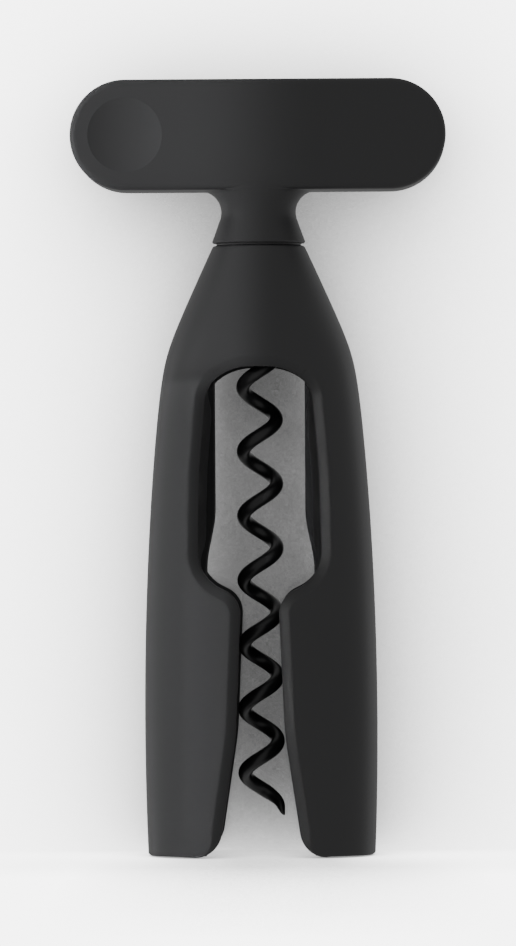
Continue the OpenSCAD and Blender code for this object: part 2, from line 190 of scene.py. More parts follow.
class WormSizes(bpy.types.PropertyGroup):
    """Sizes of the worm"""

    wire_r: length("Wire radius", "Radius of the wire", 0.00155)
    shank_r: length("Shank radius", "Radius of the straight shank", 0.00165)
    outer_r: length("Spiral radius", "Outer radius of the spiral", 0.0052)
    pitch: length("Pitch", "Rise of one turn", 0.0143)
    tip_z: length("Point height", "Height of the point above the leg ends", WORM_LOW.z)
    taper_h: length("Taper", "Height over which the wire tapers", 0.005)
    point_h: length("Straight point", "Height over which the point runs nearly straight", 0.002)
    point_r: length("Point radius", "Radius of the blunted point", 0.0001)
    spiral_end_z: length("Spiral end", "Height where the spiral starts to straighten", 0.1088)
    shank_z: length("Shank start", "Height where the straight shank starts", 0.11684)
    turn: angle("Turn", "Direction of the point, seen from above", -6.0)


class Finishes(bpy.types.PropertyGroup):
    """Colours and surface finishes"""

    body: colour("Body plastic", "Charcoal plastic of the bell and handle", (0.027, 0.027, 0.028))
    body_rough: factor("Body roughness", "Roughness of the body plastic", 0.46)
    liner: colour("Liner plastic", "Black plastic of the inner liner", (0.0085, 0.0085, 0.009))
    coating: colour("Worm coating", "Black non-stick coating of the worm", (0.011, 0.011, 0.0115))
    bush: colour("Bush plastic", "Black low-friction plastic", (0.012, 0.012, 0.013))
    steel: colour("Washer steel", "Bright stamped steel", (0.60, 0.61, 0.63))


class StudioSettings(bpy.types.PropertyGroup):
    """Camera and light"""

    distance: length("Camera distance", "From the camera to the worm's axis", 1.500, 0.1, 5.0)
    height: length("Camera height", "Height of the camera and of its aim", 0.08474, 0.0, 1.0)
    aim_x: length("Aim", "Sideways offset of what the camera looks at", -0.00045, -0.1, 0.1)
    yaw: angle("Yaw", "How far the camera stands to the right of the front", 0.9)
    roll: angle("Roll", "Roll of the camera", -0.33)
    lens: amount("Focal length in mm", "Focal length on a 36 mm sensor", 256.4, 500.0)
    surround: amount("Surround", "Brightness of the pale surround as it is seen", 6.1, 20.0)
    room: amount("Room light", "Brightness of the even light from all round", 0.46, 20.0)
    # Contact shade and least brightness set the painted shade on the floor and backdrop
    contact: amount("Contact shade", "How deep the surround darkens close to the object", 2.6, 8.0)
    fill: amount("Least brightness", "Brightness of the surround where it is darkest", 0.05, 8.0)
    key: amount("Key light in W", "Power of the large soft light on the left", 0.8)
    left_rim: amount("Left rim light in W", "Power of the light behind on the left", 0.35)
    right_rim: amount("Right rim light in W", "Power of the light behind on the right", 0.2)
    back: amount("Back light in W", "Power of the large soft light high behind", 2.0)
    left_half: amount("Left half in W/m2", "Strength of the parallel light on the left half", 3.4)
    half_edge: length("Left half's edge", "Where that light ends on the object", -0.0018, -0.1, 0.1)
    bevel_glint: amount("Bevel glint in W/m2", "Strength of the light seen in the bevels", 0.183)


class CorkscrewSettings(bpy.types.PropertyGroup):
    """All settings of the corkscrew"""

    bell: PointerProperty(type=BellSizes)
    handle: PointerProperty(type=HandleSizes)
    worm: PointerProperty(type=WormSizes)
    finishes: PointerProperty(type=Finishes)
    studio: PointerProperty(type=StudioSettings)


# Modelling helpers

def deselect():
    if bpy.context.mode != "OBJECT":
        bpy.ops.object.mode_set(mode="OBJECT")
    bpy.ops.object.select_all(action="DESELECT")


def named(name):
    piece = bpy.context.active_object
    piece.name = piece.data.name = name
    return piece


def activate(piece):
    deselect()
    piece.select_set(True)
    bpy.context.view_layer.objects.active = piece


def laid_grid(name, rows):
    """A grid primitive whose points are laid on rows of places"""
    deselect()
    across, along = len(rows[0]) - 1, len(rows) - 1
    bpy.ops.mesh.primitive_grid_add(x_subdivisions=across, y_subdivisions=along, size=2.0)
    piece = named(name)
    if any(len(row) != across + 1 for row in rows):
        raise RuntimeError(f"the rows of {name} differ in length")
    if len(piece.data.vertices) != (across + 1) * (along + 1):
        raise RuntimeError(f"the grid of {name} has {len(piece.data.vertices)} points")
    for point in piece.data.vertices:
        column = round((point.co.x + 1) / 2 * across)
        row = round((point.co.y + 1) / 2 * along)
        point.co = rows[row][column]
    return piece


def choose_nothing(piece, mode):
    """Clears the choice of edges or faces, and leaves the piece in object mode"""
    activate(piece)
    bpy.ops.object.mode_set(mode="EDIT")
    bpy.ops.mesh.select_mode(type=mode)
    bpy.ops.mesh.select_all(action="DESELECT")
    bpy.ops.object.mode_set(mode="OBJECT")


def choose_all(piece):
    """Goes into edit mode with every point selected"""
    activate(piece)
    bpy.ops.object.mode_set(mode="EDIT")
    bpy.ops.mesh.select_mode(type="VERT")
    bpy.ops.mesh.select_all(action="SELECT")


def choose_edges(piece, test):
    """Selects the edges whose two ends pass a test, and goes into edit mode"""
    choose_nothing(piece, "EDGE")
    points = piece.data.vertices
    for edge in piece.data.edges:
        edge.select = test(points[edge.vertices[0]].co, points[edge.vertices[1]].co)
    bpy.ops.object.mode_set(mode="EDIT")


def choose_faces(piece, test):
    """Selects the faces that pass a test on the face, and goes into edit mode"""
    choose_nothing(piece, "FACE")
    for face in piece.data.polygons:
        face.select = test(face)
    bpy.ops.object.mode_set(mode="EDIT")


def close_up(piece):
    """Merges doubled points, fills open ends and turns all faces outwards"""
    choose_all(piece)
    bpy.ops.mesh.remove_doubles(threshold=LEFT_OVER)
    bpy.ops.mesh.select_all(action="SELECT")
    bpy.ops.mesh.fill_holes(sides=0)
    bpy.ops.mesh.select_all(action="SELECT")
    bpy.ops.mesh.normals_make_consistent(inside=False)
    bpy.ops.object.mode_set(mode="OBJECT")


def smooth(piece, degrees):
    activate(piece)
    bpy.ops.object.shade_smooth_by_angle(angle=math.radians(degrees))


def apply_modifier(piece, modifier):
    activate(piece)
    bpy.ops.object.modifier_apply(modifier=modifier.name)


def settle(piece):
    """Puts the object's place into its mesh"""
    activate(piece)
    bpy.ops.object.transform_apply(location=True, rotation=True, scale=True)


def dress(piece, material):
    """Gives a piece its one material"""
    piece.data.materials.clear()
    piece.data.materials.append(material)


def hand_over(piece, body, slot, material, *nodes):
    """Gives a finished piece its material and its place in the frame"""
    dress(piece, material)
    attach(piece, body)
    if nodes:
        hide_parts(*nodes)


# Forms

def ease(t):
    c = max(0.0, min(1.0, t))
    return c * c * (3 - 2 * c)


def soft_min(p, q, blend):
    return (p + q - math.sqrt((p - q) ** 2 + blend ** 2)) / 2


def power(value, exponent):
    return math.copysign(abs(value) ** exponent, value)


def rounded_line(corners, radii, steps):
    """A line of corner points with each corner rounded to its own radius"""
    line = []
    for i, (place, radius) in enumerate(zip(corners, radii)):
        p = Vector(place)
        if radius == 0:
            line.append(p)
            continue
        u = (Vector(corners[i - 1]) - p).normalized()
        v = (Vector(corners[i + 1]) - p).normalized()
        half = math.acos(max(-1.0, min(1.0, u.dot(v)))) / 2
        reach = radius / math.tan(half)
        middle = p + (u + v).normalized() * (radius / math.sin(half))
        start, end = (p + u * reach - middle) / radius, (p + v * reach - middle) / radius
        turn = math.pi - 2 * half
        count = max(4, round(steps * turn / (math.pi / 2)))
        for k in range(count + 1):
            t = k / count
            swing = start * math.sin((1 - t) * turn) + end * math.sin(t * turn)
            line.append(middle + radius * swing / math.sin(turn))
    return line


def split_line(line, step):
    """The same line with its long stretches split"""
    out = []
    for p, q in zip(line, line[1:]):
        count = max(1, math.ceil((q - p).length / step))
        out += [p.lerp(q, k / count) for k in range(count)]
    return out + [line[-1]]


class BellForm:
    """The bell's double curved skin and the outline of its window and slot"""

    def __init__(self, sizes):
        self.s = sizes
        self.square_z = sizes.height - sizes.square_drop
        self.window_top = sizes.height - sizes.window_drop
        self.crease_top = self.window_top + sizes.bevel_w

    def half_w(self, z):
        s = self.s
        side = s.width / 2 - (z - s.widest_z) ** 2 / (2 * s.side_curve_r)
        crown = s.lip_d / 2 + (s.height - z) * math.tan(s.crown_side)
        return soft_min(side, crown, s.crown_blend)

    def half_d(self, z):
        s = self.s
        crown = s.lip_d / 2 + (s.height - z) * math.tan(s.crown_front)
        return soft_min(s.depth / 2, crown, s.crown_blend)

    def power_at(self, z):
        s = self.s
        roundness = ease((z - self.square_z) / (s.height - self.square_z))
        return s.squareness - (s.squareness - 2) * roundness

    def rim_inset(self, z):
        r = self.s.rim_r
        out = r - min(z, self.s.height - z)
        return r - math.sqrt(max(0.0, r * r - out * out)) if out > 0 else 0.0

    def at(self, z, turn, inset):
        n = self.power_at(z)
        a, b = self.half_w(z) - inset, self.half_d(z) - inset
        return Vector((a * abs(math.cos(turn)) ** (2 / n), b * power(math.sin(turn), 2 / n), z))

    def turn_of(self, x, z, inset):
        share = max(0.0, min(1.0, x / (self.half_w(z) - inset)))
        return math.acos(share ** (self.power_at(z) / 2))

    def arc(self, x, z, side_z, inset, steps, rim=False):
        """Line round the right half from a place on the front to the same place on the back"""
        first = self.turn_of(x, z, inset + (self.rim_inset(z) if rim else 0.0))
        line = []
        for k in range(steps + 1):
            t = 2 * k / steps - 1
            level = z + (side_z - z) * ease(1 - abs(t))
            line.append(self.at(level, first * t, inset + (self.rim_inset(level) if rim else 0.0)))
        return line

    def outline(self, step):
        """Right half of the window and slot seen from the front, from the leg end up to the arch"""
        s, top = self.s, self.window_top
        corners = [
            (0, top), (s.arch_half, top), (s.shoulder_half, top - s.arch_rise),
            (s.middle_half, (top + s.window_foot) / 2), (s.window_half, s.window_foot),
            (s.slot_half, s.slot_top), (s.slot_middle_half, s.slot_middle),
            (s.leg_half_gap, 0), (s.leg_half_gap + s.leg_corner_r, 0),
        ]
        radii = [
            0, s.arch_r, s.shoulder_r, s.side_bend_r, s.foot_corner_r,
            s.slot_corner_r, s.side_bend_r, s.leg_corner_r, 0,
        ]
        line = rounded_line(corners, radii, steps=22)[::-1]
        return split_line(line[1:], step)


def bevel_line(form, p, top, edge, fade, crease):
    """Points from the skin's edge over the bevel's creases and the window's inner flange"""
    s = form.s
    foot = Vector((p.x, top.y + max(LEAST_DROP, s.bevel_drop * fade), p.y))
    cut = (foot - top).normalized() * crease
    line = [
        top.lerp((edge + top + cut) / 2, 0.5), top + cut, foot - cut * 0.8,
        foot + Vector((0, crease * 0.25, 0)) - cut * 0.12, foot + Vector((0, crease, 0)),
    ]
    low, high = s.window_foot + FLANGE_END, form.window_top - s.arch_rise + FLANGE_END
    share = ease((p.y - low) / FLANGE_FADE) * ease((high - p.y) / FLANGE_FADE)
    line.append(line[-1] + share * Vector((-s.flange_w, s.flange_drop, 0)))
    line.append(line[-1] + share * FLANGE_LIP)
    return line


def bell_rows(form, around, inner_around, step, crown_steps):
    """Rows of the right half of the bell: outside, back bevel, inside and front bevel"""
    s = form.s
    line = form.outline(step)
    run = [0.0]
    for p, q in zip(line, line[1:]):
        run.append(run[-1] + (q - p).length)
    rows = []
    for i, p in enumerate(line):
        last = i == len(line) - 1
        along = (line[min(i + 1, len(line) - 1)] - line[max(i - 1, 0)]).normalized()
        fade = 1 - (1 - min(1.0, p.y / s.leg_corner_r)) ** 2
        out = Vector((along.y, -along.x))
        side_z = form.crease_top * run[i] / run[-1]
        crease = s.crease_r * (0.25 + 0.75 * fade)
        width = max(s.bevel_w * fade, 2 * crease)

        def place_at(distance):
            return Vector((0, form.window_top + distance)) if last else p + out * distance

        far, near = place_at(width + crease), place_at(width)
        outer = form.arc(far.x, far.y, side_z, 0.0, around, rim=True)
        inner = form.arc(p.x, p.y, side_z, s.wall, inner_around)
        top = form.arc(near.x, near.y, side_z, 0.0, 2, rim=True)[0]
        bevel = bevel_line(form, p, top, outer[0], fade, crease)
        behind = [Vector((b.x, -b.y, b.z)) for b in bevel]
        rows.append(outer + behind + inner[::-1] + bevel[::-1] + [outer[0]])
    seat_z = s.height - s.seat_t
    bore_z = seat_z - s.bush_l
    ceiling = seat_z - s.crown_solid
    circles = [
        (s.boss_r + BOSS_ROOT, ceiling), (s.boss_r, ceiling - BOSS_ROOT),
        (s.boss_r, bore_z + BOSS_EDGE), (s.boss_r - BOSS_EDGE, bore_z),
        (s.bush_r, bore_z), (s.bush_r, seat_z), (s.seat_r, seat_z),
        (s.seat_r, s.height - SEAT_EDGE), (s.seat_r + SEAT_EDGE, s.height),
    ]
    rim_turns = [math.radians(90 * k / RIM_STEPS) for k in range(RIM_STEPS, -1, -1)]
    first = form.crease_top + CROWN_START
    rise = s.height - s.rim_r - first
    levels = [first]
    levels += [first + rise * k / crown_steps for k in range(1, crown_steps)]
    levels += [s.height - s.rim_r * (1 - math.cos(t)) for t in rim_turns]
    shares = [k / (BEVEL_POINTS + 1) for k in range(1, BEVEL_POINTS + 1)]
    hollow = len(levels) - len(circles)
    for i, z in enumerate(levels):
        outer = form.arc(0.0, z, z, 0.0, around, rim=True)
        if i < hollow:
            inner_z = first + (ceiling - first) * i / (hollow - 1)
            inner = form.arc(0.0, inner_z, inner_z, s.wall, inner_around)
        else:
            radius, inner_z = circles[i - hollow]
            turns = [math.pi * k / inner_around - math.pi / 2 for k in range(inner_around + 1)]
            inner = [Vector((radius * math.cos(t), radius * math.sin(t), inner_z)) for t in turns]
        back = [outer[-1].lerp(inner[-1], t) for t in shares]
        front = [inner[0].lerp(outer[0], t) for t in shares]
        row = outer + back + inner[::-1] + front + [outer[0]]
        for place in row[around:around + BEVEL_POINTS + 2] + row[-BEVEL_POINTS - 2:]:
            place.x = 0.0
        rows.append(row)
    return rows


def superellipse(a, b, n, z, sides):
    turns = [2 * math.pi * k / sides for k in range(sides)]
    return [
        Vector((a * power(math.cos(t), 2 / n), b * power(math.sin(t), 2 / n), z))
        for t in turns
    ]


# Finishes

def new_group(name, inputs, outputs):
    tree = bpy.data.node_groups.new(name, "ShaderNodeTree")
    kind = "NodeSocketFloat"
    for label, default in inputs:
        socket = tree.interface.new_socket(name=label, in_out="INPUT", socket_type=kind)
        socket.default_value = default
    for label in outputs:
        tree.interface.new_socket(name=label, in_out="OUTPUT", socket_type=kind)
    return tree, tree.nodes.new("NodeGroupInput"), tree.nodes.new("NodeGroupOutput")


def set_input(tree, socket, value):
    """Sets a socket to a number, or links another socket to it"""
    if isinstance(value, (int, float)):
        socket.default_value = value
    else:
        tree.links.new(value, socket)


def noise_node(tree, vector, scale, detail, roughness=0.5):
    node = tree.nodes.new("ShaderNodeTexNoise")
    labels = ("Vector", "Scale", "Detail", "Roughness")
    for label, value in zip(labels, (vector, scale, detail, roughness)):
        set_input(tree, node.inputs[label], value)
    return node.outputs["Fac"]


def math_node(tree, operation, *values):
    node = tree.nodes.new("ShaderNodeMath")
    node.operation = operation
    for socket, value in zip(node.inputs, values):
        set_input(tree, socket, value)
    return node.outputs["Value"]


def map_range(tree, value, low, high, to_low, to_high):
    node = tree.nodes.new("ShaderNodeMapRange")
    labels = ("Value", "From Min", "From Max", "To Min", "To Max")
    for label, number in zip(labels, (value, low, high, to_low, to_high)):
        set_input(tree, node.inputs[label], number)
    return node.outputs["Result"]


def add_relief(tree, shader, height, strength, distance):
    relief = tree.nodes.new("ShaderNodeBump")
    for label, value in (("Height", height), ("Strength", strength), ("Distance", distance)):
        set_input(tree, relief.inputs[label], value)
    tree.links.new(relief.outputs["Normal"], shader.inputs["Normal"])


def moulded_grain_group():
    """Fine spark-eroded grain of a moulded plastic, with a slow change of tone and gloss"""
    group = bpy.data.node_groups.get("Moulded grain")
    if group:
        return group
    inputs = [("Roughness", 0.5), ("Mottle", 0.05), ("Grain size", 2600.0)]
    group, start, end = new_group("Moulded grain", inputs, ["Tone", "Roughness", "Height"])
    place = group.nodes.new("ShaderNodeTexCoord").outputs["Object"]
    grain = noise_node(group, place, start.outputs["Grain size"], detail=3.0, roughness=0.62)
    flow = noise_node(group, place, scale=34.0, detail=3.0)
    spread = math_node(group, "SUBTRACT", flow, 0.5)
    fleck = math_node(group, "SUBTRACT", grain, 0.5)
    tone = math_node(group, "MULTIPLY_ADD", spread, start.outputs["Mottle"], 1.0)
    tone = math_node(group, "MULTIPLY_ADD", fleck, 0.10, tone)
    rough = math_node(group, "MULTIPLY_ADD", spread, 0.10, start.outputs["Roughness"])
    rough = math_node(group, "MULTIPLY_ADD", fleck, 0.06, rough)
    for label, value in (("Tone", tone), ("Roughness", rough), ("Height", grain)):
        group.links.new(value, end.inputs[label])
    return group


def new_material(name):
    """The named material, with its nodes only where it is new"""
    material = bpy.data.materials.get(name)
    if material:
        return material, None, None
    material = bpy.data.materials.new(name)
    material.use_nodes = True
    tree = material.node_tree
    return material, tree, tree.nodes["Principled BSDF"]


def colour_socket(sockets, name):
    return next(socket for socket in sockets if socket.name == name and socket.type == "RGBA")


def moulded_plastic(name, tint, rough, mottle, grain, bump, specular=0.5):
    """Moulded plastic with a fine grain"""
    material, tree, shader = new_material(name)
    if shader is None:
        return material
    shader.inputs["IOR"].default_value = PLASTIC_IOR
    shader.inputs["Specular IOR Level"].default_value = specular
    group = tree.nodes.new("ShaderNodeGroup")
    group.node_tree = moulded_grain_group()
    for label, value in (("Roughness", rough), ("Mottle", mottle), ("Grain size", grain)):
        group.inputs[label].default_value = value
    shade = tree.nodes.new("ShaderNodeCombineColor")
    for label in ("Red", "Green", "Blue"):
        tree.links.new(group.outputs["Tone"], shade.inputs[label])
    dye = tree.nodes.new("ShaderNodeMix")
    dye.data_type = "RGBA"
    dye.blend_type = "MULTIPLY"
    dye.inputs["Factor"].default_value = 1.0
    colour_socket(dye.inputs, "A").default_value = (*tint, 1.0)
    tree.links.new(shade.outputs["Color"], colour_socket(dye.inputs, "B"))
    tree.links.new(colour_socket(dye.outputs, "Result"), shader.inputs["Base Color"])
    tree.links.new(group.outputs["Roughness"], shader.inputs["Roughness"])
    add_relief(tree, shader, group.outputs["Height"], strength=1.0, distance=bump)
    return material


def stamped_steel(name, tint, rough, brushing):
    """Bright or turned steel with fine tool marks round the axis"""
    material, tree, shader = new_material(name)
    if shader is None:
        return material
    shader.inputs["Metallic"].default_value = 1.0
    shader.inputs["Base Color"].default_value = (*tint, 1.0)
    place = tree.nodes.new("ShaderNodeTexCoord").outputs["Object"]
    squash = tree.nodes.new("ShaderNodeMapping")
    squash.inputs["Scale"].default_value = (1.0, 1.0, brushing)
    tree.links.new(place, squash.inputs["Vector"])
    marks = noise_node(tree, squash.outputs["Vector"], scale=900.0, detail=4.0, roughness=0.6)
    gloss = map_range(tree, marks, 0.3, 0.7, rough - 0.06, rough + 0.08)
    tree.links.new(gloss, shader.inputs["Roughness"])
    add_relief(tree, shader, marks, strength=0.5, distance=0.00001)
    return material


def settings():
    return bpy.context.scene.corkscrew


def body_plastic():
    look = settings().finishes
    return moulded_plastic(
        "Charcoal satin plastic", look.body, look.body_rough,
        mottle=0.06, grain=2600.0, bump=0.000012)


def liner_plastic():
    return moulded_plastic(
        "Black liner plastic", settings().finishes.liner, rough=0.42,
        mottle=0.08, grain=1800.0, bump=0.00001, specular=0.25)


def bush_plastic():
    return moulded_plastic(
        "Low-friction plastic", settings().finishes.bush, rough=0.35,
        mottle=0.05, grain=2400.0, bump=0.000006)


def worm_coating():
    return moulded_plastic(
        "Non-stick coating", settings().finishes.coating, rough=0.34,
        mottle=0.25, grain=1500.0, bump=0.00003)


# Pieces

class CORKSCREW_OT_bell(bpy.types.Operator):
    """Lays the bell's smooth skin, with its arched window, slot and crisp bevel"""

    bl_idname = "corkscrew.bell"
    bl_label = "Bell"

    def execute(self, context):
        form = BellForm(settings().bell)
        rows = bell_rows(form, around=72, inner_around=44, step=0.0012, crown_steps=36)
        bell = laid_grid("Bell_shell", rows)
        choose_all(bell)
        bpy.ops.mesh.remove_doubles(threshold=LEFT_OVER)
        arch_z = form.window_top - 0.001
        bpy.ops.object.mode_set(mode="OBJECT")
        points = bell.data.vertices
        choose_faces(bell, lambda face: all(
            abs(points[v].co.x) < LEFT_OVER and points[v].co.z > arch_z for v in face.vertices))
        bpy.ops.mesh.delete(type="FACE")
        bpy.ops.object.mode_set(mode="OBJECT")
        mirror = bell.modifiers.new("Left half", "MIRROR")
        mirror.use_axis = (True, False, False)
        mirror.use_mirror_merge = True
        mirror.merge_threshold = LEFT_OVER
        apply_modifier(bell, mirror)
        top = form.s.height - LEFT_OVER
        choose_edges(bell, lambda p, q: p.z > top and q.z > top)
        bpy.ops.mesh.bridge_edge_loops()
        bpy.ops.object.mode_set(mode="OBJECT")
        close_up(bell)
        smooth(bell, 32.0)
        hand_over(bell, "bell", "body_plastic", body_plastic(), "body_shell")
        return {"FINISHED"}


class CORKSCREW_OT_liner(bpy.types.Operator):
    """Gives the neck liner its black moulded finish"""

    bl_idname = "corkscrew.liner"
    bl_label = "Neck liner"

    def execute(self, context):
        dress(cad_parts["neck_liner"], liner_plastic())
        return {"FINISHED"}


class CORKSCREW_OT_handle(bpy.types.Operator):
    """Shapes the T handle: round-ended bar, thumb dimple, neck and skirt"""

    bl_idname = "corkscrew.handle"
    bl_label = "Handle"

    def bar(self, s, bar_z):
        flat_left, merge, rim = 0.00001, 0.00005, 0.0002
        deselect()
        bpy.ops.mesh.primitive_cube_add(
            size=1.0, location=(0, 0, bar_z), scale=(s.bar_l, s.bar_t, s.bar_h))
        bar = named("Handle_body")
        settle(bar)
        choose_edges(bar, lambda p, q: abs(p.x - q.x) < LEFT_OVER and abs(p.z - q.z) < LEFT_OVER)
        bpy.ops.mesh.bevel(offset=s.bar_h / 2 - flat_left, segments=32, profile=0.5, affect="EDGES")
        bpy.ops.mesh.select_all(action="SELECT")
        bpy.ops.mesh.remove_doubles(threshold=merge)
        bpy.ops.object.mode_set(mode="OBJECT")
        face_y = s.bar_t / 2 - LEFT_OVER
        choose_edges(bar, lambda p, q: abs(p.y) > face_y and abs(q.y) > face_y and p.y * q.y > 0)
        bpy.ops.mesh.bevel(offset=s.edge_r, segments=12, profile=0.5, affect="EDGES")
        bpy.ops.object.mode_set(mode="OBJECT")
        choose_faces(bar, lambda face: abs(face.normal.y) > 0.999 and len(face.vertices) > 8)
        bpy.ops.mesh.inset(thickness=rim)
        bpy.ops.object.mode_set(mode="OBJECT")
        return bar

    def neck(self, s, seam_z, bar_low):
        """Neck and skirt, closed below by the washer's recess and above inside the bar"""
        sides, hole_r, edge, overlap, steps_up = 128, 0.0018, 0.0001, 0.00002, 7
        recess_z, collar_z = seam_z + 0.0005, BELL_HIGH.z + s.collar_gap
        blend_z, merge_z = seam_z + 0.0035, bar_low + 0.0014
        full_y, wide, top_power = s.bar_t / 2 + overlap, s.flare_w / 2, 2.5
        slope, collar_in = math.tan(s.skirt_angle), s.collar_r - s.collar_w
        cap_in, cap_rise, cap_wide, cap_deep = 0.0004, 0.0008, 0.7, 0.3

        def straight_r(z):
            return s.skirt_r - (z - seam_z - s.rim_r) * slope

        def half_depth(z):
            """Half depth at a height, and how far the round neck has gone over into the bar"""
            share = ease((z - blend_z) / (merge_z - blend_z))
            return straight_r(z) + (full_y - straight_r(z)) * share, share

        under = [
            (hole_r, recess_z), (s.recess_r, recess_z), (s.recess_r, seam_z + edge),
            (s.recess_r + edge, seam_z), (collar_in, seam_z), (collar_in, collar_z),
            (s.collar_r, collar_z), (s.collar_r, seam_z), (s.skirt_r - s.rim_r, seam_z),
        ]
        for k in range(1, RIM_STEPS):
            t = math.radians(90 * k / RIM_STEPS)
            r = s.skirt_r - s.rim_r * (1 - math.sin(t))
            under.append((r, seam_z + s.rim_r * (1 - math.cos(t))))
        rows = [superellipse(r, r, 2, z, sides) for r, z in under]
        line = rounded_line(
            [(s.skirt_r, seam_z + s.rim_r), (straight_r(bar_low), bar_low), (wide, bar_low)],
            [0, s.flare_r, 0], steps=26)
        for p in split_line(line, step=0.0005):
            painted_shade, share = half_depth(p.y)
            rows.append(superellipse(p.x, painted_shade, 2 + (top_power - 2) * share, p.y + overlap, sides))
        for k in range(1, steps_up + 1):
            z = bar_low + overlap + (merge_z - bar_low) * k / steps_up
            rows.append(superellipse(wide + edge * k, half_depth(z)[0], top_power, z, sides))
        cap_z = merge_z + cap_rise
        rows.append(superellipse(wide, s.bar_t / 2 - cap_in, top_power, cap_z, sides))
        rows.append(superellipse(
            wide * cap_wide, s.bar_t * cap_deep, top_power, cap_z + cap_rise, sides))
        neck = laid_grid("Handle_neck", [row + [row[0]] for row in rows])
        close_up(neck)
        return neck

    def execute(self, context):
        s = settings().handle
        seam_z, top_z = HANDLE_LOW.z, HANDLE_HIGH.z
        bar_z = top_z - s.bar_h / 2
        bar = self.bar(s, bar_z)
        ball_r = (s.dimple_d ** 2 / 4 + s.dimple_depth ** 2) / (2 * s.dimple_depth)
        deselect()
        bpy.ops.mesh.primitive_uv_sphere_add(
            segments=256, ring_count=128, radius=ball_r,
            location=(-(s.bar_l - s.bar_h) / 2, -s.bar_t / 2 + s.dimple_depth - ball_r, bar_z))
        ball = named("Dimple_ball")
        neck = self.neck(s, seam_z, bar_z - s.bar_h / 2)
        for label, operation, tool in (
            ("Neck", "UNION", neck), ("Thumb dimple", "DIFFERENCE", ball),
        ):
            cut = bar.modifiers.new(label, "BOOLEAN")
            cut.operation = operation
            cut.solver = "EXACT"
            cut.object = tool
            apply_modifier(bar, cut)
            activate(tool)
            bpy.ops.object.delete()
        smooth(bar, 12.0)
        hand_over(bar, "turning_handle", "body_plastic", body_plastic(), "handle")
        return {"FINISHED"}


class CORKSCREW_OT_worm(bpy.types.Operator):
    """Winds the worm from its ground point up to its straight shank"""

    bl_idname = "corkscrew.worm"
    bl_label = "Worm"

    def execute(self, context):
        s = settings().worm
        sides, turn_steps, swell, ahead, taper_power = 28, 56, 0.0004, 0.00002, 0.6
        turns = [2 * math.pi * k / sides for k in range(sides)]

        def size(z):
            share = max(0.0, min(1.0, (z - s.tip_z) / s.taper_h))
            grow = ease((z - s.shank_z + swell) / (2 * swell))
            taper = (s.wire_r - s.point_r) * share ** taper_power
            return s.point_r + taper + (s.shank_r - s.wire_r) * grow

        def turn(z):
            up = z - s.tip_z
            return s.turn + 2 * math.pi / s.pitch * (up - soft_min(up, s.point_h, s.point_h / 2))

        def centre(z):
            inward = ease((z - s.spiral_end_z) / (s.shank_z - s.spiral_end_z))
            out = (s.outer_r - size(z)) * (1 - inward)
            return Vector((out * math.cos(turn(z)), out * math.sin(turn(z)), z))

        count = math.ceil((s.shank_z - s.tip_z) / s.pitch * turn_steps)
        levels = [s.tip_z + (s.shank_z - s.tip_z) * k / count for k in range(count + 1)]
        levels += [s.shank_z + swell, WORM_HIGH.z]
        rows = []
        for z in levels:
            along = (centre(z + ahead) - centre(z)).normalized()
            out = Vector((math.cos(turn(z)), math.sin(turn(z)), 0))
            side = (out - along * out.dot(along)).normalized()
            up = along.cross(side)
            ring = [centre(z) + size(z) * (side * math.cos(t) + up * math.sin(t)) for t in turns]
            rows.append(ring + [ring[0]])
        worm = laid_grid("Worm_wire", rows)
        close_up(worm)
        smooth(worm, 40.0)
        hand_over(worm, "turning_handle", "worm_coating", worm_coating(), "worm")
        return {"FINISHED"}


class CORKSCREW_OT_bearing(bpy.types.Operator):
    """Finishes the bush, washers, clip, drive hub and cross pin"""

    bl_idname = "corkscrew.bearing"
    bl_label = "Bearing and drive"

    def execute(self, context):
        steel = settings().finishes.steel
        washer = stamped_steel("Stamped steel", steel, rough=0.28, brushing=8.0)
        darker = tuple(0.82 * c for c in steel)
        hub = stamped_steel("Turned steel", darker, rough=0.34, brushing=20.0)
        finishes = {
            "crown_bush": bush_plastic(), "thrust_washer": bush_plastic(),
            "retaining_washer": washer, "push_on_clip": washer,
            "drive_hub": hub, "cross_pin": hub,
        }
        for node, material in finishes.items():
            dress(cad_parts[node], material)
        return {"FINISHED"}


# Studio

def openness(tree, lean, reach):
    """How free of the object a place on the surround is, seen along one direction, which sets the
    surround's painted shade
    """
    shade = tree.nodes.new("ShaderNodeAmbientOcclusion")
    shade.samples = 12
    shade.inputs["Distance"].default_value = reach
    shade.inputs["Color"].default_value = WHITE
    facing = tree.nodes.new("ShaderNodeCombineXYZ")
    for label, value in zip("XYZ", Vector(lean).normalized()):
        facing.inputs[label].default_value = value
    tree.links.new(facing.outputs["Vector"], shade.inputs["Normal"])
    return shade.outputs["AO"]


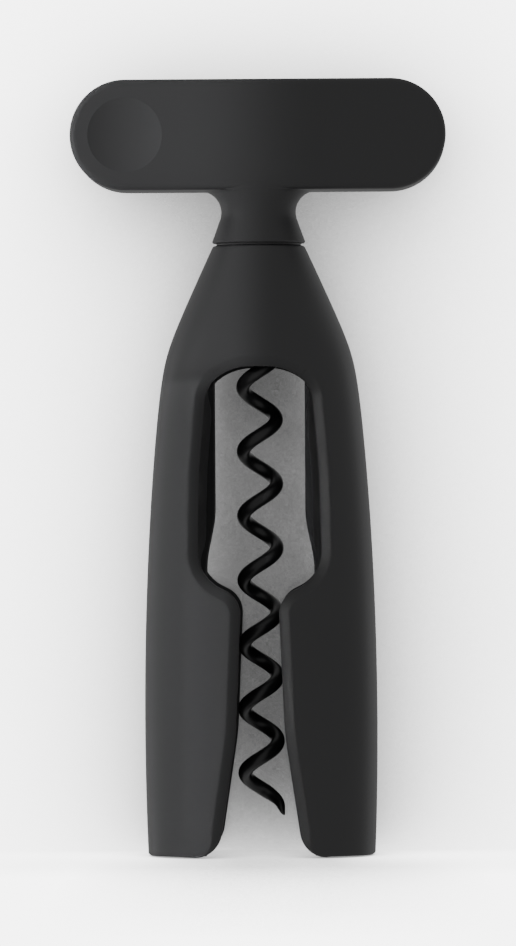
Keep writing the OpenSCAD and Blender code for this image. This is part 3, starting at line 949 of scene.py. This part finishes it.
def painted_shade_surround(back_y, front_y, strength, depth, fill):
    """Pale surround that glows evenly, with painted shade where the object is close"""
    material = bpy.data.materials.new("Pale surround, painted shade")
    material.use_nodes = True
    tree = material.node_tree
    tree.nodes.remove(tree.nodes["Principled BSDF"])
    out = tree.nodes["Material Output"]
    place = tree.nodes.new("ShaderNodeSeparateXYZ")
    tree.links.new(tree.nodes.new("ShaderNodeTexCoord").outputs["Object"], place.inputs["Vector"])
    # Painted shade: occlusion by the object darkens the surround. Behind the object it leans to the
    # left and up, so the shade falls to the right and under the bar, like a shadow from light on the
    # left. In front of the object it looks back at it.
    behind = openness(tree, lean=(-0.09, -1.0, 0.25), reach=0.12)
    before = openness(tree, lean=(0.05, 1.0, 0.5), reach=0.25)
    near = map_range(tree, place.outputs["Y"], back_y, front_y, behind, before)
    # Painted shadow on the floor: the shade deepens in front of the object near its middle and fades
    # out to the sides
    middle_x, inner_x, outer_x, floor_run = 0.005, 0.01, 0.045, 0.1
    aside = math_node(tree, "ABSOLUTE", math_node(tree, "SUBTRACT", place.outputs["X"], middle_x))
    spread = map_range(tree, aside, inner_x, outer_x, depth, -depth)
    onward = map_range(tree, place.outputs["Y"], back_y, back_y - floor_run, 0.0, 1.0)
    painted_shade_power = math_node(tree, "MULTIPLY_ADD", onward, spread, depth)
    # The even pale glow, dimmed by the painted shade down to the least brightness
    glow = tree.nodes.new("ShaderNodeEmission")
    painted_shade = math_node(tree, "POWER", near, painted_shade_power)
    tree.links.new(math_node(tree, "MULTIPLY_ADD", painted_shade, strength, fill), glow.inputs["Strength"])
    back = tree.nodes.new("ShaderNodeBsdfTransparent")
    sides = tree.nodes.new("ShaderNodeMixShader")
    facing_away = tree.nodes.new("ShaderNodeNewGeometry")
    tree.links.new(facing_away.outputs["Backfacing"], sides.inputs["Fac"])
    tree.links.new(glow.outputs["Emission"], sides.inputs[1])
    tree.links.new(back.outputs["BSDF"], sides.inputs[2])
    tree.links.new(sides.outputs["Shader"], out.inputs["Surface"])
    return material


class CORKSCREW_OT_studio(bpy.types.Operator):
    """Sets the pale floor and backdrop with their painted shade, the soft light and the camera"""

    bl_idname = "corkscrew.studio"
    bl_label = "Studio"

    def surface(self, name, size, location, rotation, material):
        """Flat sheet that only the camera sees"""
        deselect()
        bpy.ops.mesh.primitive_plane_add(size=1.0, location=location, rotation=rotation)
        sheet = named(name)
        bpy.ops.transform.resize(value=(*size, 1), orient_type="LOCAL")
        settle(sheet)
        sheet.data.materials.append(material)
        sheet.visible_diffuse = sheet.visible_glossy = False
        sheet.visible_shadow = sheet.visible_transmission = False

    def light(self, name, location, aim, size, power_w, spread=180.0):
        """Rectangular lamp that the camera doesn't see"""
        deselect()
        bpy.ops.object.light_add(type="AREA", location=location)
        lamp = bpy.context.active_object
        lamp.name = lamp.data.name = name
        lamp.rotation_mode = "QUATERNION"
        lamp.rotation_quaternion = (Vector(aim) - Vector(location)).to_track_quat("-Z", "Y")
        lamp.data.shape = "RECTANGLE"
        lamp.data.size, lamp.data.size_y = size
        lamp.data.energy = power_w
        lamp.data.spread = math.radians(spread)
        lamp.visible_camera = False
        return lamp

    def parallel(self, name, azimuth, elevation, face_y, x_range, z_range, strength, reach):
        """Parallel light on one stretch of the object's front, without a mirror image"""
        turn, rise = math.radians(azimuth), math.radians(elevation)
        level = Vector((math.sin(turn), -math.cos(turn), 0.0)) * math.cos(rise)
        toward = level + Vector((0.0, 0.0, math.sin(rise)))
        aim = Vector((sum(x_range) / 2, face_y, sum(z_range) / 2))
        wide, high = x_range[1] - x_range[0], (z_range[1] - z_range[0]) * math.cos(rise)
        lamp = self.light(
            name, aim + toward * reach, aim, (wide * math.cos(turn), high), strength * wide * high,
            PARALLEL_SPREAD)
        lamp.visible_glossy = False
        return lamp

    def surround(self, scene, s):
        """Even light from all round, and the glowing floor and close backdrop with their painted
        shade
        """
        world = scene.world or bpy.data.worlds.new("Surround")
        scene.world = world
        world.use_nodes = True
        tree = world.node_tree
        sky = tree.nodes.get("Background") or tree.nodes.new("ShaderNodeBackground")
        sky.inputs["Color"].default_value = WHITE
        seen = tree.nodes.new("ShaderNodeLightPath").outputs["Is Camera Ray"]
        tree.links.new(map_range(tree, seen, 0.0, 1.0, s.room, s.surround), sky.inputs["Strength"])
        back_y, front_y = CAD_HIGH.y + 0.001, CAD_LOW.y - 0.03
        floor_z, high = -0.0002, 0.5
        # The floor and backdrop glow evenly and carry painted shade near the object; the backdrop
        # stands just behind it
        pale = painted_shade_surround(back_y, front_y, s.surround, s.contact, s.fill)
        self.surface("Floor", (3.0, 3.0), (0, 0, floor_z), (0, 0, 0), pale)
        upright = (math.radians(90), 0, 0)
        self.surface("Backdrop", (0.6, high), (0, back_y, high / 2 - 0.0001), upright, pale)

    def soft_lights(self, s):
        for name, location, size, power_w in (
            ("Key", (-0.95, -0.35, 0.40), (0.5, 0.7), s.key),
            ("Left_rim", (-0.65, 0.35, 0.12), (0.3, 0.6), s.left_rim),
            ("Right_rim", (0.65, 0.45, 0.12), (0.3, 0.6), s.right_rim),
            ("Back", (0.45, 0.75, 0.65), (0.6, 0.6), s.back),
        ):
            self.light(name, location, SOFT_AIM, size, power_w).visible_glossy = name != "Back"

    def parallel_lights(self, s):
        """The half-lit left side, and the glint in the right-hand bevels"""
        handle = settings().handle
        front_y, bar_y = -0.0179, -handle.bar_t / 2
        low_z, fold_z, bar_z, high_z = -0.03, 0.105, HANDLE_HIGH.z - handle.bar_h, 0.2
        left_x, edge_x, near, far = -0.06, s.half_edge, 0.15, 0.5
        for name, azimuth, elevation, face_y, x_range, z_range, reach in (
            ("Left_side", -22, 0, front_y, (left_x, -0.018), (low_z, fold_z), near),
            ("Left_window_side", -57, 0, front_y, (-0.0205, 0.0), (low_z, fold_z), near),
            ("Left_half_high", 0, 6, front_y, (left_x, edge_x), (fold_z, bar_z), far),
            ("Left_half_bar", -64, 0, bar_y, (left_x, edge_x), (bar_z, high_z), far),
        ):
            self.parallel(name, azimuth, elevation, face_y, x_range, z_range, s.left_half, reach)
        glint = self.parallel(
            "Bevel_glint", -66, 0, front_y, (-0.001, 0.03), (-0.01, 0.115), s.bevel_glint, 0.35)
        glint.visible_diffuse, glint.visible_glossy = False, True

    def camera(self, scene, s):
        """Camera at the photo's viewing angle, level with the object's middle"""
        deselect()
        bpy.ops.object.camera_add()
        camera = bpy.context.active_object
        camera.name = camera.data.name = "Camera"
        camera.data.sensor_fit = "AUTO"
        camera.data.sensor_width = 36.0
        camera.data.lens = s.lens
        camera.data.clip_start, camera.data.clip_end = 0.01, 20.0
        aim = Vector((s.aim_x, 0.0, s.height))
        back = Vector((math.sin(s.yaw), -math.cos(s.yaw), 0.0))
        camera.location = aim + back * s.distance
        camera.rotation_mode = "QUATERNION"
        turned = (-back).to_track_quat("-Z", "Y")
        turned.rotate(Quaternion(back, s.roll))
        camera.rotation_quaternion = turned
        scene.camera = camera

    def execute(self, context):
        s = settings().studio
        self.surround(context.scene, s)
        self.soft_lights(s)
        self.parallel_lights(s)
        self.camera(context.scene, s)
        return {"FINISHED"}


class CORKSCREW_PT_panel(bpy.types.Panel):
    """Sizes, finishes and steps of the corkscrew"""

    bl_idname = "CORKSCREW_PT_panel"
    bl_label = "Bell corkscrew"
    bl_space_type = "VIEW_3D"
    bl_region_type = "UI"
    bl_category = "Corkscrew"

    def draw(self, context):
        whole = context.scene.corkscrew
        for title, part, operator in (
            ("Bell", whole.bell, "corkscrew.bell"),
            ("Handle", whole.handle, "corkscrew.handle"),
            ("Worm", whole.worm, "corkscrew.worm"),
            ("Studio", whole.studio, "corkscrew.studio"),
        ):
            box = self.layout.box()
            box.label(text=title)
            for name in part.__annotations__:
                box.prop(part, name)
            box.operator(operator)
        box = self.layout.box()
        box.label(text="Finishes")
        for name in whole.finishes.__annotations__:
            box.prop(whole.finishes, name)
        box.operator("corkscrew.liner")
        box.operator("corkscrew.bearing")


CLASSES = (
    BellSizes, HandleSizes, WormSizes, Finishes, StudioSettings, CorkscrewSettings,
    CORKSCREW_OT_bell, CORKSCREW_OT_liner, CORKSCREW_OT_handle, CORKSCREW_OT_worm,
    CORKSCREW_OT_bearing, CORKSCREW_OT_studio, CORKSCREW_PT_panel,
)


def register():
    for cls in CLASSES:
        bpy.utils.register_class(cls)
    bpy.types.Scene.corkscrew = PointerProperty(type=CorkscrewSettings)


def unregister():
    del bpy.types.Scene.corkscrew
    for cls in reversed(CLASSES):
        bpy.utils.unregister_class(cls)


def main():
    register()
    bpy.ops.corkscrew.bell()
    bpy.ops.corkscrew.liner()
    bpy.ops.corkscrew.handle()
    bpy.ops.corkscrew.worm()
    bpy.ops.corkscrew.bearing()
    bpy.ops.corkscrew.studio()


if __name__ == "__main__":
    main()
